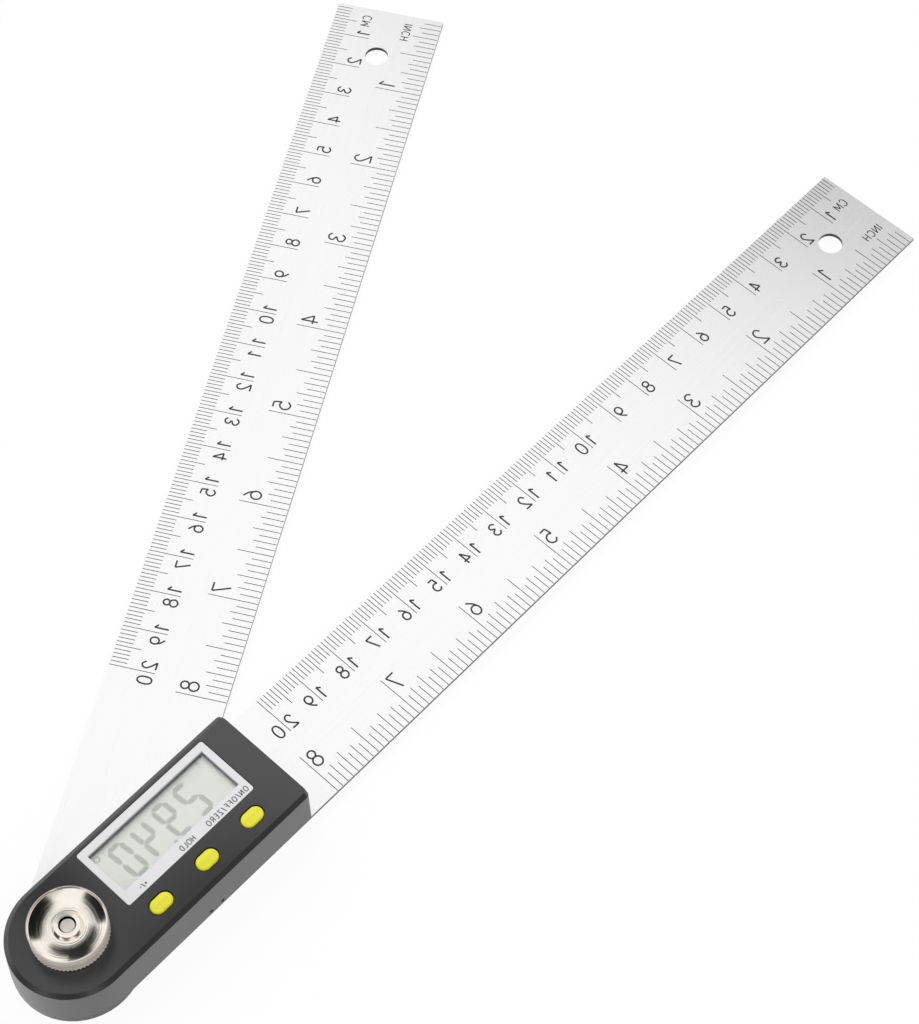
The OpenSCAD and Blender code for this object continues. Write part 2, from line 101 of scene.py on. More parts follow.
def brushed_steel(name, turn):
    # Stainless steel with a brushed finish: a bright, soft mirror drawn out by fine lines. Its upright
    # edges are dark, partly for their sheared finish and partly as painted shade.
    made, tree, shader, place = start(name, Metallic=1.0)
    along = add(tree, "Mapping", {"Vector": place, "Rotation": (0, 0, -turn)}).outputs[0]
    stretched = add(tree, "Mapping", {
        "Vector": along,
        "Scale": (1 / (BRUSH_LENGTH * MM), 1 / (BRUSH_PITCH * MM), 1 / (BRUSH_PITCH * MM))})
    lines = add(tree, "TexNoise", {"Vector": stretched.outputs[0], "Scale": 1.0, "Detail": 4.0})
    patches = add(tree, "TexNoise", {"Vector": place, "Scale": 1 / (HANDLING * MM), "Detail": 2.0})
    blend = add(tree, "Math", {0: lines.outputs[0], 1: patches.outputs[0]}, operation="MULTIPLY")
    face = add(tree, "Mix", {0: blend.outputs[0], 6: colour(STEEL), 7: colour(STEEL_WORN)},
               data_type="RGBA")
    # Painted shade: every upright edge gets the dark edge colour, partly for the sheared finish and
    # partly for the shade along the blades' edges.
    shape = add(tree, "SeparateXYZ", {"Vector": add(tree, "NewGeometry").outputs["True Normal"]})
    level = add(tree, "Math", {0: shape.outputs[2]}, operation="ABSOLUTE")
    edge = add(tree, "Math", {0: level.outputs[0], 1: FACE_LEVEL}, operation="LESS_THAN")
    whole = add(tree, "Mix", {0: edge.outputs[0], 6: face.outputs[2], 7: colour(SHEARED_AND_SHADED)},
                data_type="RGBA")
    tree.links.new(whole.outputs[2], shader.inputs["Base Color"])
    vary(tree, lines.outputs[0], 0.22, 0.3, shader.inputs["Roughness"])
    bump = add(tree, "Bump", {"Height": lines.outputs[0], "Strength": 0.12, "Distance": 0.02 * MM})
    tree.links.new(bump.outputs[0], shader.inputs["Normal"])
    return made


def dress(material, *nodes):
    """Gives CAD nodes that keep their own shape their finish."""
    for name in nodes:
        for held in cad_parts[name].material_slots:
            held.link = "OBJECT"
            held.material = material


dress(brushed_steel("brushed_stainless_swing", REST_ANGLE), "swing_blade")

# ---------------------------------------------------------------------------------------------
# The scales on the blades. Centimetres run along one edge and inches along the other, from the
# tip. They are etched and filled with black oxide ink, here a skin of 0.012 mm on the steel.

REACH, HALF_BLADE = 266.5, 13.95
READS = -1  # the signs are mirrored, as in the photograph: 1 would turn every sign round
TICK_W, NUMERAL_W, LETTER_W = 0.18, 0.42, 0.28
INK_H = 0.012
CM_TICKS = ((10, 3.4), (5, 8.0), (1, 10.1))  # every so many millimetres, the y it runs in to
INCH_TICKS = ((16, -2.3), (8, -5.6), (4, -7.4), (2, -8.4), (1, -9.4))  # in sixteenths
CM_FOOT, CM_H = 3.55, 3.3  # foot and height of the centimetre numerals
INCH_FOOT, INCH_H = -7.0, 4.1
INCH = 25.4
# From the tick to the middle of its numeral: one figure alone, the tens, the units and the inches.
ALONE_BY, TENS_BY, UNITS_BY, INCH_BY = 1.9, 1.8, -2.0, 2.2
# The letters by the tip: how far in their middle is, their foot, their height and their gap.
LETTERS = (("CM", 4.25, 4.4, 2.3, 0.25), ("INCH", 5.6, -6.5, 2.1, 0.3))

# Each sign is a list of strokes in a cell one unit high. A stroke runs smoothly through its points.
SIGNS = {
    "0": [[(.29, 1), (.56, .5), (.29, 0), (.02, .5), (.29, 1)]],
    "1": [[(.12, .76), (.36, 1)], [(.36, 1), (.36, 0)]],
    "2": [[(.04, .76), (.29, 1), (.53, .75), (.38, .4), (.02, 0)], [(.02, 0), (.57, 0)]],
    "3": [[(.04, .83), (.28, 1), (.52, .77), (.24, .54)], [(.24, .54), (.56, .28), (.28, 0), (.02, .2)]],
    "4": [[(.42, 0), (.42, 1)], [(.42, 1), (.01, .3)], [(.01, .3), (.59, .3)]],
    "5": [[(.5, 1), (.13, 1)], [(.13, 1), (.07, .54)],
          [(.07, .54), (.3, .63), (.55, .32), (.29, 0), (.02, .17)]],
    "6": [[(.44, 1), (.16, .68), (.03, .32)], [(.29, .6), (.55, .3), (.29, 0), (.03, .3), (.29, .6)]],
    "7": [[(.02, 1), (.56, 1)], [(.56, 1), (.18, 0)]],
    "8": [[(.29, 1), (.51, .78), (.29, .55), (.07, .78), (.29, 1)],
          [(.29, .55), (.56, .28), (.29, 0), (.02, .28), (.29, .55)]],
    "9": [[(.14, 0), (.42, .32), (.55, .68)], [(.29, .4), (.03, .7), (.29, 1), (.55, .7), (.29, .4)]],
    "C": [[(.56, .82), (.3, 1), (.02, .5), (.3, 0), (.56, .18)]],
    "M": [[(.03, 0), (.03, 1)], [(.03, 1), (.35, .2)], [(.35, .2), (.67, 1)], [(.67, 1), (.67, 0)]],
    "I": [[(.04, 0), (.04, 1)]],
    "N": [[(.03, 0), (.03, 1)], [(.03, 1), (.56, 0)], [(.56, 0), (.56, 1)]],
    "H": [[(.03, 0), (.03, 1)], [(.56, 0), (.56, 1)], [(.03, .5), (.56, .5)]],
    "O": [[(.33, 1), (.66, .5), (.33, 0), (0, .5), (.33, 1)]],
    "F": [[(.04, 0), (.04, 1)], [(.04, 1), (.48, 1)], [(.04, .53), (.42, .53)]],
    "L": [[(.04, 1), (.04, 0)], [(.04, 0), (.46, 0)]],
    "D": [[(.04, 1), (.04, 0)], [(.04, 1), (.3, .97), (.56, .5), (.3, .03), (.04, 0)]],
    "Z": [[(.02, 1), (.52, 1)], [(.52, 1), (0, 0)], [(0, 0), (.54, 0)]],
    "E": [[(.46, 0), (.04, 0)], [(.04, 0), (.04, 1)], [(.04, 1), (.46, 1)], [(.04, .53), (.42, .53)]],
    "R": [[(.04, 0), (.04, 1)], [(.04, 1), (.4, 1), (.52, .76), (.4, .52), (.04, .52)],
          [(.28, .52), (.54, 0)]],
    "/": [[(0, -.06), (.34, 1.06)]],
    "+": [[(.04, .5), (.56, .5)], [(.3, .24), (.3, .76)]],
    "-": [[(.04, .5), (.42, .5)]],
}


def word(text, middle, foot, height, gap=0.2):
    """The strokes of a word, centred on x = middle and standing on y = foot."""
    widths = [max(x for stroke in SIGNS[sign] for x, y in stroke) for sign in text]
    pen = -(sum(widths) + gap * (len(text) - 1)) / 2
    strokes = []
    for sign, width in zip(text, widths):
        for stroke in SIGNS[sign]:
            strokes.append([(middle + READS * (pen + x) * height, foot + y * height) for x, y in stroke])
        pen += width + gap
    return strokes


def engrave(strokes, width, height):
    """A bmesh of flat strokes: a smooth line through each stroke's points, swept and pressed thin."""
    line = bpy.data.curves.new("strokes", "CURVE")
    line.dimensions = "3D"
    line.twist_mode = "Z_UP"
    line.bevel_depth = width / 2
    line.bevel_resolution = 0
    line.use_fill_caps = True
    line.resolution_u = 5
    for points in strokes:
        closed = len(points) > 2 and points[0] == points[-1]
        points = points[:-1] if closed else points
        spline = line.splines.new("BEZIER")
        spline.bezier_points.add(len(points) - 1)
        spline.use_cyclic_u = closed
        for knot, (x, y) in zip(spline.bezier_points, points):
            knot.co = (x, y, 0)
            knot.handle_left_type = knot.handle_right_type = "AUTO" if len(points) > 2 else "VECTOR"
    holder = bpy.data.objects.new("strokes", line)
    bpy.context.collection.objects.link(holder)
    swept = holder.evaluated_get(bpy.context.evaluated_depsgraph_get())
    mesh = bpy.data.meshes.new_from_object(swept)
    bm = bmesh.new()
    bm.from_mesh(mesh)
    bpy.data.meshes.remove(mesh)
    bpy.data.curves.remove(line)
    bmesh.ops.scale(bm, vec=(1, 1, height / (width / 2)), verts=bm.verts)
    return bm


def join(parts):
    """One bmesh from several, which are used up."""
    whole = bmesh.new()
    for part in parts:
        loose = bpy.data.meshes.new("loose")
        part.to_mesh(loose)
        part.free()
        whole.from_mesh(loose)
        bpy.data.meshes.remove(loose)
    return whole


def piece(name, bm, material, body, smooth=30):
    """Makes the bmesh, which is in millimetres, a piece with one material that rides on a body."""
    bmesh.ops.scale(bm, vec=(MM, MM, MM), verts=bm.verts)
    mesh = bpy.data.meshes.new(name)
    bm.to_mesh(mesh)
    bm.free()
    mesh.materials.append(material)
    mesh.shade_smooth()
    mesh.set_sharp_from_angle(angle=math.radians(smooth))
    made = bpy.data.objects.new(name, mesh)
    bpy.context.collection.objects.link(made)
    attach(made, body)
    return made


def oxide_ink(name):
    # Black oxide ink baked into an etched line: dark and dry, thinner here and there.
    made, tree, shader, place = start(name)
    wear = add(tree, "TexNoise", {"Vector": place, "Scale": 1 / (2.0 * MM), "Detail": 3.0})
    vary(tree, wear.outputs[0], "#242424", "#3c3c3c", shader.inputs["Base Color"])
    vary(tree, wear.outputs[0], 0.45, 0.65, shader.inputs["Roughness"])
    return made


def scale_marks():
    """The ticks and the signs of one blade, as two bmeshes, with the tip at x = REACH."""
    ticks = []
    for mm in range(1, 201):
        reach_in = next(y for step, y in CM_TICKS if mm % step == 0)
        ticks.append([(REACH - mm, HALF_BLADE), (REACH - mm, reach_in)])
    for sixteenth in range(1, 129):
        reach_in = next(y for step, y in INCH_TICKS if sixteenth % step == 0)
        x = REACH - sixteenth * INCH / 16
        ticks.append([(x, -HALF_BLADE), (x, reach_in)])
    numerals = []
    for cm in range(1, 10):
        numerals += word(str(cm), REACH - 10 * cm + ALONE_BY, CM_FOOT, CM_H)
    for cm in range(10, 21):
        numerals += word(str(cm)[0], REACH - 10 * cm + TENS_BY, CM_FOOT, CM_H)
        numerals += word(str(cm)[1], REACH - 10 * cm + UNITS_BY, CM_FOOT, CM_H)
    for inch in range(1, 9):
        numerals += word(str(inch), REACH - INCH * inch + INCH_BY, INCH_FOOT, INCH_H)
    letters = []
    for text, in_from_tip, foot, height, gap in LETTERS:
        letters += word(text, REACH - in_from_tip, foot, height, gap)
    return (engrave(ticks, TICK_W, INK_H),
            join([engrave(numerals, NUMERAL_W, INK_H), engrave(letters, LETTER_W, INK_H)]))


ink = oxide_ink("black_oxide_ink")
for blade, body, turn in (("swing", "swing_arm", REST_ANGLE), ("fixed", "housing", 0.0)):
    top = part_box(blade + "_blade")[1][2] / MM
    for bm, kind in zip(scale_marks(), ("graduations", "numerals")):
        bmesh.ops.translate(bm, vec=(0, 0, top), verts=bm.verts)
        bmesh.ops.rotate(bm, cent=(0, 0, 0), matrix=Matrix.Rotation(turn, 3, "Z"), verts=bm.verts)
        piece(blade + "_" + kind, bm, ink, body)

# ---------------------------------------------------------------------------------------------
# Fixed blade. Blanked and brushed like the swing blade, and bored for the pivot hub, the battery
# cap and the housing's screws. It lies over the swing blade and carries the housing.

dress(brushed_steel("brushed_stainless_fixed", 0.0), "fixed_blade")

# ---------------------------------------------------------------------------------------------
# Pivot. A turned steel hub carries the fixed blade, three rivets hold it to the swing blade, and
# an M3 bolt stands up through it. A nylon shim keeps the blades apart.


def turned_metal(name, low, high, rough):
    # Turned metal: fine rings round the pivot axis, left by the tool.
    made, tree, shader, place = start(name, Metallic=1.0)
    grain = add(tree, "TexNoise", {"Vector": place, "Scale": 1 / (0.8 * MM), "Detail": 3.0})
    vary(tree, grain.outputs[0], low, high, shader.inputs["Base Color"])
    vary(tree, grain.outputs[0], rough - 0.06, rough + 0.08, shader.inputs["Roughness"])
    return made


def moulded(name, low, high, rough, grain_mm, depth_mm=0.01, **shine):
    # A moulded part: its colour drifts slightly, and a fine spark-eroded grain softens its shine.
    made, tree, shader, place = start(name, **shine)
    drift = add(tree, "TexNoise", {"Vector": place, "Scale": 1 / (8.0 * MM), "Detail": 2.0})
    grain = add(tree, "TexNoise", {"Vector": place, "Scale": 1 / (grain_mm * MM), "Detail": 2.0})
    vary(tree, drift.outputs[0], low, high, shader.inputs["Base Color"])
    vary(tree, grain.outputs[0], rough - 0.06, rough + 0.06, shader.inputs["Roughness"])
    bump = add(tree, "Bump", {"Height": grain.outputs[0], "Strength": 0.4, "Distance": depth_mm * MM})
    tree.links.new(bump.outputs[0], shader.inputs["Normal"])
    return made


dress(turned_metal("turned_steel", "#c9c9c8", "#b4b4b3", 0.32), "pivot_hub", "hub_rivets")
dress(moulded("nylon_shim", "#e9e6dc", "#dedacd", 0.45, 0.4), "blade_shim")
dress(turned_metal("bolt_steel", "#f4ede7", "#dfd6ce", 0.2), "pivot_bolt")

# ---------------------------------------------------------------------------------------------
# Angle sensor. A disc that turns with the hub faces the main board, which carries the fixed
# pattern underneath. Both are etched glass epoxy board under green solder mask.

dress(moulded("solder_mask", "#1f6b43", "#2a7d50", 0.3, 0.5), "rotor_disc", "main_board")

# ---------------------------------------------------------------------------------------------
# Chip, crystal and capacitors. Bought parts soldered to the main board: a processor moulded in
# black resin, a watch crystal in a drawn can and chip capacitors of fired ceramic.

dress(moulded("chip_resin", "#1c1c1e", "#262628", 0.5, 0.3), "processor_chip")
dress(turned_metal("crystal_can", "#c2c2bd", "#a8a8a2", 0.25), "clock_crystal")
dress(moulded("capacitor_ceramic", "#a58461", "#8f6f4e", 0.45, 0.3), "chip_capacitors")

# ---------------------------------------------------------------------------------------------
# Strips and switches. Two rubber strips with conducting layers are squeezed between the board and
# the display and join them. Three small switches are soldered to the board under the keys.

dress(moulded("strip_rubber", "#d9d9d6", "#c9c9c6", 0.6, 0.4), "zebra_strips")
dress(moulded("switch_plastic", "#2b2b2d", "#38383a", 0.4, 0.3), "button_switches")

# ---------------------------------------------------------------------------------------------
# Chassis. An inner moulding of black ABS that carries the board and the battery cell. It is
# closed in between the cover and the fixed blade.

dress(moulded("inner_abs", "#26262a", "#303034", 0.45, 0.3), "chassis")

# ---------------------------------------------------------------------------------------------
# Battery cell and contacts. A lithium coin cell in a pressed steel can, held between two springs
# that are stamped from bronze strip.

dress(turned_metal("cell_steel", "#d8d8d6", "#c4c4c2", 0.25), "battery_cell")
dress(turned_metal("contact_bronze", "#c79a5a", "#b0854a", 0.3), "contact_plus", "contact_minus")

# ---------------------------------------------------------------------------------------------
# Battery cap and seal. A moulded ABS cap that a coin turns in its bayonet, flush with the
# underside of the fixed blade. A rubber ring lies in its groove.

dress(moulded("cap_abs", "#2a292a", "#343334", 0.42, 0.3), "battery_cap")
dress(moulded("seal_rubber", "#161616", "#202020", 0.65, 0.3), "cap_seal")

# ---------------------------------------------------------------------------------------------
# Housing screws. Four headed and rolled steel screws. Their countersunk heads sit in the fixed
# blade, and they pull the cover down on it.

dress(turned_metal("screw_steel", "#8c8c8e", "#77777a", 0.35), "housing_screws")

# ---------------------------------------------------------------------------------------------
# Display. A liquid crystal cell: two sheets of glass with a film on each, that show the reading
# as dark segments. It is pressed on the rubber strips from above.

READING = "29.40"
LIT = {"0": "abcdef", "2": "abged", "4": "fgbc", "9": "abcdfg"}
CELL_W, CELL_H, BAR_W, BAR_GAP = 4.3, 9.4, 1.1, 0.18
LEAN = 0.07  # how far the digits lean, for each unit of height
FIRST_X, PITCH, DIGIT_FOOT = 38.25, 6.2, -0.8  # middle of the first digit, to the next, their foot
SEGMENT_H = 0.02
POINT, POINT_W = [(29.2, -0.65), (29.2, -0.05)], 0.8
DEGREE_SIGN = [(15.1, 9.2), (15.7, 8.6), (15.1, 8.0), (14.5, 8.6), (15.1, 9.2)]
DEGREE_SIGN_W = 0.35
# The middle of each bar in the cell, from -1 to 1 each way, and whether it stands up.
BARS = {"a": (0, 1, 0), "g": (0, 0, 0), "d": (0, -1, 0),
        "f": (-1, .5, 1), "b": (1, .5, 1), "e": (-1, -.5, 1), "c": (1, -.5, 1)}


def bar(middle_x, middle_y, length, upright):
    """One segment: a bar with pointed ends, SEGMENT_H thick."""
    half, point = length / 2, BAR_W / 2
    bm = bmesh.new()
    outline = [(-half, 0), (point - half, -point), (half - point, -point),
               (half, 0), (half - point, point), (point - half, point)]
    face = bm.faces.new([bm.verts.new((x, y, 0)) for x, y in outline])
    raised = bmesh.ops.extrude_face_region(bm, geom=[face])
    bmesh.ops.translate(bm, vec=(0, 0, SEGMENT_H), verts=[
        v for v in raised["geom"] if isinstance(v, bmesh.types.BMVert)])
    bmesh.ops.recalc_face_normals(bm, faces=bm.faces)
    if upright:
        quarter = Matrix.Rotation(math.pi / 2, 3, "Z")
        bmesh.ops.rotate(bm, cent=(0, 0, 0), matrix=quarter, verts=bm.verts)
    bmesh.ops.translate(bm, vec=(middle_x, middle_y, 0), verts=bm.verts)
    return bm


def digit(sign, middle_x, foot):
    """The lit bars of one digit."""
    across, up = (CELL_W - BAR_W) / 2, (CELL_H - BAR_W) / 2
    parts = []
    for name in LIT[sign]:
        x, y, upright = BARS[name]
        length = (up if upright else 2 * across) - BAR_GAP
        parts.append(bar(x * across, y * up, length, upright))
    bm = join(parts)
    for vert in bm.verts:
        vert.co.x += LEAN * vert.co.y
        vert.co.x *= READS
    bmesh.ops.reverse_faces(bm, faces=bm.faces)
    bmesh.ops.translate(bm, vec=(middle_x, foot + CELL_H / 2, 0), verts=bm.verts)
    return bm


glass_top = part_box("display_glass")[1][2] / MM
digits = [sign for sign in READING if sign != "."]
parts = [digit(sign, FIRST_X - PITCH * i, DIGIT_FOOT) for i, sign in enumerate(digits)]
parts.append(engrave([POINT], POINT_W, SEGMENT_H))
parts.append(engrave([DEGREE_SIGN], DEGREE_SIGN_W, SEGMENT_H))
segments = join(parts)
bmesh.ops.translate(segments, vec=(0, 0, glass_top), verts=segments.verts)
piece("display_segments", segments,
      moulded("liquid_crystal_dark", "#989d95", "#a1a69e", 0.35, 0.5), "housing")


WINDOW = (14.05, 46.95, -1.15, 10.05)  # the opening in the frame: x from and to, y from and to
SHADE_W = 1.5  # how far in the frame shades the film


def polariser(name):
    # The film on a reflective liquid crystal cell: a silvery grey green, darker along the two
    # edges that the frame shades.
    made, tree, shader, place = start(name, Roughness=0.3)
    apart = add(tree, "SeparateXYZ", {"Vector": place})
    shades = [add(tree, "MapRange", {"Value": apart.outputs[axis], "From Min": (edge - SHADE_W) * MM,
                                     "From Max": edge * MM}, interpolation_type="SMOOTHSTEP")
              for axis, edge in ((0, WINDOW[1]), (1, WINDOW[3]))]
    shade = add(tree, "Math", {0: shades[0].outputs[0], 1: shades[1].outputs[0]}, operation="MAXIMUM")
    drift = add(tree, "TexNoise", {"Vector": place, "Scale": 1 / (8.0 * MM), "Detail": 2.0})
    film = add(tree, "Mix", {0: drift.outputs[0], 6: colour("#cdd1c9"), 7: colour("#cacec5")},
               data_type="RGBA")
    whole = add(tree, "Mix", {0: shade.outputs[0], 6: film.outputs[2], 7: colour("#959a93")},
                data_type="RGBA")
    tree.links.new(whole.outputs[2], shader.inputs["Base Color"])
    return made


dress(polariser("polariser_film"), "display_glass")

# ---------------------------------------------------------------------------------------------
# Display lens. A sheet of clear acrylic, cut to size. It lies between the frame and the liquid
# crystal cell.


def clear_acrylic(name):
    # Clear acrylic sheet: nothing shows but its gloss. Lamps reach through it.
    made, tree, shader, place = start(
        name, Base_Color=(1, 1, 1, 1), IOR=1.49, Transmission_Weight=1.0)
    haze = add(tree, "TexNoise", {"Vector": place, "Scale": 1 / (5.0 * MM), "Detail": 2.0})
    vary(tree, haze.outputs[0], 0.02, 0.06, shader.inputs["Roughness"])
    through = add(tree, "BsdfTransparent")
    path = add(tree, "LightPath")
    pick = add(tree, "MixShader", {0: path.outputs["Is Shadow Ray"], 1: shader.outputs[0],
                                   2: through.outputs[0]})
    tree.links.new(pick.outputs[0], tree.nodes["Material Output"].inputs["Surface"])
    return made


dress(clear_acrylic("clear_acrylic"), "display_lens")

# ---------------------------------------------------------------------------------------------
# Bezel. A thin frame moulded in white ABS, with softened edges. It is pressed into its pocket in
# the cover, round the window of the display.


def slab(x0, x1, y0, y1, z0, z1, corner=0.0, segments=8):
    """A block between those planes, with its upright edges rounded."""
    bm = bmesh.new()
    size = Matrix.Diagonal((x1 - x0, y1 - y0, z1 - z0, 1))
    middle = Matrix.Translation(((x0 + x1) / 2, (y0 + y1) / 2, (z0 + z1) / 2))
    bmesh.ops.create_cube(bm, size=1, matrix=middle @ size)
    if corner:
        upright = [e for e in bm.edges if abs(e.verts[0].co.z - e.verts[1].co.z) > (z1 - z0) / 2]
        bmesh.ops.bevel(bm, geom=upright, offset=corner, affect="EDGES", segments=segments,
                        profile=0.5, material=-1)
        bmesh.ops.remove_doubles(bm, verts=bm.verts, dist=0.0005)
    return bm


def carve(bm, tools, operation="DIFFERENCE"):
    """The bmesh with the tools cut out of it, or joined to it. All are used up."""
    blanks = []
    for shape in [bm] + tools:
        mesh = bpy.data.meshes.new("blank")
        shape.to_mesh(mesh)
        shape.free()
        blanks.append(bpy.data.objects.new("blank", mesh))
        bpy.context.collection.objects.link(blanks[-1])
    for tool in blanks[1:]:
        cut = blanks[0].modifiers.new("cut", "BOOLEAN")
        cut.operation = operation
        cut.solver = "EXACT"
        cut.object = tool
    result = bmesh.new()
    result.from_object(blanks[0], bpy.context.evaluated_depsgraph_get())
    for blank in blanks:
        bpy.data.meshes.remove(blank.data)
    return result


def even(made):
    """Shades a moulded piece by its large faces, so that its rounded edges don't tint them."""
    shading = made.modifiers.new("even_shading", "WEIGHTED_NORMAL")
    shading.keep_sharp = True


FLAT, SHARP = math.radians(0.5), math.radians(30)


def soften(bm, radius):
    """Rounds the edges that are sharper than SHARP. Faces that lie FLAT together are made one first."""
    bmesh.ops.dissolve_limit(bm, angle_limit=FLAT, verts=bm.verts, edges=bm.edges)
    sharp = [e for e in bm.edges if len(e.link_faces) == 2 and e.calc_face_angle() > SHARP]
    bmesh.ops.bevel(bm, geom=sharp, offset=radius, affect="EDGES", segments=2,
                    profile=0.5, material=-1, clamp_overlap=True)
    return bm


def extent(node):
    """The lowest and highest corner of a CAD node, in millimetres."""
    low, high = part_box(node)
    return [v / MM for v in low], [v / MM for v in high]


BEZEL_CORNER, BEZEL_EDGE = 0.6, 0.12
CLEAR = 1.0  # how far a cutting tool runs past the surface
low, high = extent("display_bezel")
bezel = slab(low[0], high[0], low[1], high[1], low[2], high[2], BEZEL_CORNER)
bezel = carve(bezel, [slab(*WINDOW, low[2] - CLEAR, high[2] + CLEAR)])
white = moulded("white_printed_abs", "#e5e5e7", "#e2e2e4", 0.38, 0.5)
frame_piece = piece("bezel_frame", soften(bezel, BEZEL_EDGE), white, "housing")
even(frame_piece)
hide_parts("display_bezel")

# ---------------------------------------------------------------------------------------------
# Key legends. The names of the keys, screen printed on the frame in a dark grey ink. The film of
# ink is 0.008 mm thick.

LEGEND_FOOT, LEGEND_H, LEGEND_W, LEGEND_INK = -3.6, 1.25, 0.22, 0.008
# Each legend: where its middle is, its foot, its height and its gap.
LEGENDS = (("ON/OFF/ZERO", 41.8, LEGEND_FOOT, LEGEND_H, 0.36),
           ("HOLD", 30.2, LEGEND_FOOT, LEGEND_H, 0.28),
           ("+/-", 17.6, LEGEND_FOOT + 0.1, 0.8 * LEGEND_H, 0.3))
strokes = []
for text, middle, foot, height, gap in LEGENDS:
    strokes += word(text, middle, foot, height, gap)
legend = engrave(strokes, LEGEND_W, LEGEND_INK)
bmesh.ops.translate(legend, vec=(0, 0, high[2]), verts=legend.verts)
piece("key_legends", legend, moulded("grey_screen_ink", "#4a4a52", "#5a5a62", 0.5, 0.5), "housing")

# ---------------------------------------------------------------------------------------------
# Cover. One black ABS moulding with walls that lean in, a bevel round the top and a fine
# spark-eroded grain. Four screws pull it down on the fixed blade.

DRAFT, BEVEL_W, BEVEL_H, CORNER_R = 0.36, 1.05, 0.7, 1.0
WALL, ROOF, COVER_EDGE = 1.8, 1.5, 0.15
END_SEGMENTS, CORNER_SEGMENTS = 36, 6
low, high = extent("cover")
half = high[1]
cover = slab(low[0], high[0], -half, half, low[2], high[2] - BEVEL_H)
for x, radius, segments in ((low[0], half, END_SEGMENTS), (high[0], CORNER_R, CORNER_SEGMENTS)):
    corners = [e for e in cover.edges if all(abs(v.co.x - x) < 0.01 for v in e.verts)
               and abs(e.verts[0].co.z - e.verts[1].co.z) > 1]
    bmesh.ops.bevel(cover, geom=corners, offset=radius, affect="EDGES", segments=segments,
                    profile=0.5, material=-1, clamp_overlap=False)
bmesh.ops.remove_doubles(cover, verts=cover.verts, dist=0.001)


def lean_in(verts, amount):
    """Draws the sides and the round end in by amount; the square end stays upright."""
    for vert in verts:
        share = 1 - amount / half
        vert.co.y *= share
        if vert.co.x < 0:
            vert.co.x *= share


roof = max(cover.faces, key=lambda f: f.calc_center_median().z)
lean_in(roof.verts, DRAFT)
raised = bmesh.ops.extrude_discrete_faces(cover, faces=[roof])["faces"][0]
bmesh.ops.translate(cover, vec=(0, 0, BEVEL_H), verts=raised.verts)
lean_in(raised.verts, BEVEL_W)


def drum(x, y, radius, z0, z1, segments):
    """An upright cylinder."""
    bm = bmesh.new()
    bmesh.ops.create_cone(bm, cap_ends=True, segments=segments, radius1=radius, radius2=radius,
                          depth=z1 - z0, matrix=Matrix.Translation((x, y, (z0 + z1) / 2)))
    return bm


POCKET = 0.14  # the joint round the frame
KEY_XS, KEY_Y = (43.6, 30.5, 17.4), -8.55
HOLE_L, HOLE_W, HOLE_DEEP = 6.0, 4.1, 3
RING_R, RING_DEEP, BORE_R = 5.25, 0.6, 4.3  # the seat of the clamp ring, and the bore inside it
NOTCH_XS, NOTCH_HALF, NOTCH_DEEP = (25.4, 28.7), 0.4, 0.8
SLIT = 0.002  # what a round end lacks, so that its two corners don't meet
inner = half - WALL
cavity = slab(-inner, high[0] - WALL, -inner, inner, low[2] - CLEAR, high[2] - ROOF)
ends = [e for e in cavity.edges if all(v.co.x < 0 for v in e.verts)
        and abs(e.verts[0].co.z - e.verts[1].co.z) > 1]
bmesh.ops.bevel(cavity, geom=ends, offset=inner - 0.01, affect="EDGES", segments=END_SEGMENTS,
                profile=0.5, material=-1)
bez_low, bez_high = extent("display_bezel")
lens_low, lens_high = extent("display_lens")
cuts = [cavity,
        slab(bez_low[0] - POCKET, bez_high[0] + POCKET, bez_low[1] - POCKET, bez_high[1] + POCKET,
             bez_low[2], high[2] + CLEAR, BEZEL_CORNER),
        slab(lens_low[0], lens_high[0], lens_low[1], lens_high[1], lens_low[2] - CLEAR, high[2] + CLEAR),
        drum(0, 0, RING_R, high[2] - RING_DEEP, high[2] + CLEAR, 64),
        drum(0, 0, BORE_R, high[2] - HOLE_DEEP, high[2] + CLEAR, 64)]
for x in KEY_XS:
    cuts.append(slab(x - HOLE_L / 2, x + HOLE_L / 2, KEY_Y - HOLE_W / 2, KEY_Y + HOLE_W / 2,
                     high[2] - HOLE_DEEP, high[2] + CLEAR, HOLE_W / 2 - SLIT))
for x in NOTCH_XS:
    cuts.append(slab(x - NOTCH_HALF, x + NOTCH_HALF, -half - CLEAR, -half + NOTCH_DEEP,
                     low[2] - CLEAR, low[2] + NOTCH_DEEP))
cover = carve(cover, cuts)
black_abs = moulded("black_abs", "#212021", "#292829", 0.31, 0.35, 0.02, Specular_IOR_Level=1.0)
cover_piece = piece("housing_cover", soften(cover, COVER_EDGE), black_abs, "housing")
even(cover_piece)
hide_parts("cover")

# ---------------------------------------------------------------------------------------------
# Keys. Three yellow ABS keys with crowned tops. A flange under the roof holds each one in, and
# its stem stands on a switch.

KEY_L, KEY_W, CROWN = 5.4, 3.5, 0.5
FLANGE_L, FLANGE_W = 6.6, 4.7
STEM_R = 1.1
KEY_SEGMENTS = 10
